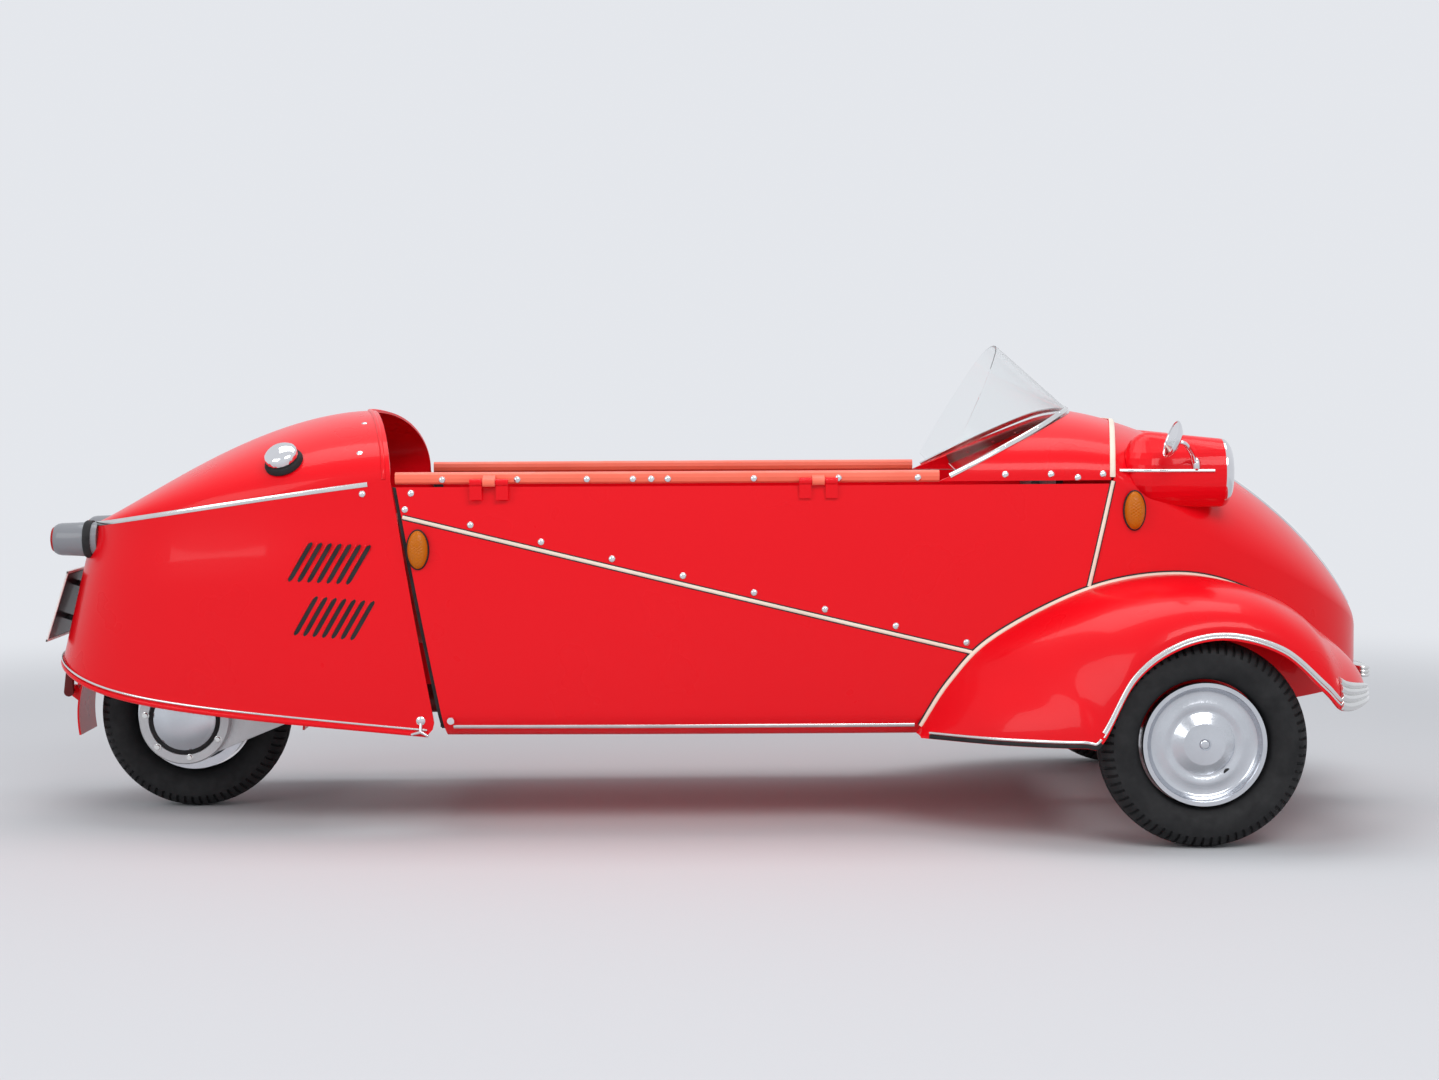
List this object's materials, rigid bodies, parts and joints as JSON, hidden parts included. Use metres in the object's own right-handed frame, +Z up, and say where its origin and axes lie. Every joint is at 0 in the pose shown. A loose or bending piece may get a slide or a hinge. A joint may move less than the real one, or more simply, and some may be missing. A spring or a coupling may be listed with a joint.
{
  "type": "three wheeled car",
  "caption": "Small open tandem roadster on three wheels, with faired nose, front fenders, a tilting cockpit frame and a hinged tail cowl.",
  "frame": {"origin": "on the ground, at the middle of the car's length and width", "axes": "+X forward to the nose, +Y to the car's left, +Z up"},
  "size_m": [2.776, 1.22, 0.9679],
  "materials": {
    "red_paint": "gloss",
    "dark_red_steel": "satin",
    "headlamp_glass": "gloss",
    "amber_lens": "gloss",
    "bright_trim": "polished",
    "chrome": "polished",
    "dark_panel": "satin",
    "black_steel": "satin",
    "seat_vinyl": "satin",
    "cast_alloy": "cast",
    "rail_vinyl": "satin",
    "clear_sheet": "gloss",
    "lamp_housing": "satin",
    "blank_plate": "gloss",
    "tyre": "matt",
    "bright_wheel": "polished"
  },
  "bodies": {
    "body_shell": {"chassis_frame": "dark_red_steel", "tub": "red_paint", "right_side_panel": "red_paint", "nose_shell": "red_paint", "right_front_fender": "red_paint", "left_front_fender": "red_paint", "headlamp_pods": "red_paint", "headlamps": "headlamp_glass", "indicators": "amber_lens", "fender_mouldings": "bright_trim", "nose_moulding": "bright_trim", "door_mirror": "chrome", "dashboard": "dark_panel", "pedals": "black_steel", "gear_lever": "black_steel", "seat_frames": "black_steel", "driver_cushion": "seat_vinyl", "driver_backrest": "seat_vinyl", "rear_cushion": "seat_vinyl", "rear_backrest": "seat_vinyl", "bulkheads": "dark_red_steel", "engine_block": "cast_alloy", "chain_case": "cast_alloy", "rear_mudguard": "red_paint", "right_suspension_arm": "black_steel", "left_suspension_arm": "black_steel", "frame_hinges": "bright_trim"},
    "cockpit_frame": {"left_side_panel": "red_paint", "cockpit_rails": "rail_vinyl", "scuttle": "red_paint", "windscreen": "clear_sheet"},
    "tail_cowl": {"rear_cowl": "red_paint", "cowl_hinge": "black_steel", "fuel_tank": "black_steel", "filler_cap": "chrome", "tail_lamps": "lamp_housing", "number_plate": "blank_plate"},
    "handlebar": {"steering_bar": "black_steel"},
    "right_steering": {"right_knuckle": "black_steel"},
    "left_steering": {"left_knuckle": "black_steel"},
    "right_wheel": {"right_front_tyre": "tyre", "right_front_wheel": "bright_wheel"},
    "left_wheel": {"left_front_tyre": "tyre", "left_front_wheel": "bright_wheel"},
    "back_wheel": {"rear_tyre": "tyre", "rear_wheel": "bright_wheel"}
  },
  "joints": [
    {"name": "cockpit_tilt", "type": "hinge", "parent": "body_shell", "child": "cockpit_frame", "pos_m": [0, -0.37402, 0.698], "axis": [1, 0, 0], "range_deg": [0, 75]},
    {"name": "cowl_tilt", "type": "hinge", "parent": "body_shell", "child": "tail_cowl", "pos_m": [-1.3515, 0, 0.252], "axis": [0, -1, 0], "range_deg": [0, 75]},
    {"name": "right_steer", "type": "hinge", "parent": "body_shell", "child": "right_steering", "pos_m": [0.938, -0.455, 0.2], "axis": [0, 0, 1], "range_deg": [-25, 25]},
    {"name": "left_steer", "type": "hinge", "parent": "body_shell", "child": "left_steering", "pos_m": [0.938, 0.455, 0.2], "axis": [0, 0, 1], "range_deg": [-25, 25]},
    {"name": "bar_turn", "type": "hinge", "parent": "body_shell", "child": "handlebar", "pos_m": [0.4, 0, 0.6], "axis": [-0.6122, 0, 0.7907], "range_deg": [-25, 25]},
    {"name": "right_roll", "type": "hinge", "parent": "right_steering", "child": "right_wheel", "pos_m": [0.938, -0.54, 0.2], "axis": [0, 1, 0], "continuous": true},
    {"name": "left_roll", "type": "hinge", "parent": "left_steering", "child": "left_wheel", "pos_m": [0.938, 0.54, 0.2], "axis": [0, 1, 0], "continuous": true},
    {"name": "back_roll", "type": "hinge", "parent": "body_shell", "child": "back_wheel", "pos_m": [-1.098, 0, 0.2], "axis": [0, 1, 0], "continuous": true}
  ],
  "couplings": [
    {"joint": "left_steer", "follows": "right_steer", "ratio": 1},
    {"joint": "bar_turn", "follows": "right_steer", "ratio": 1}
  ]
}
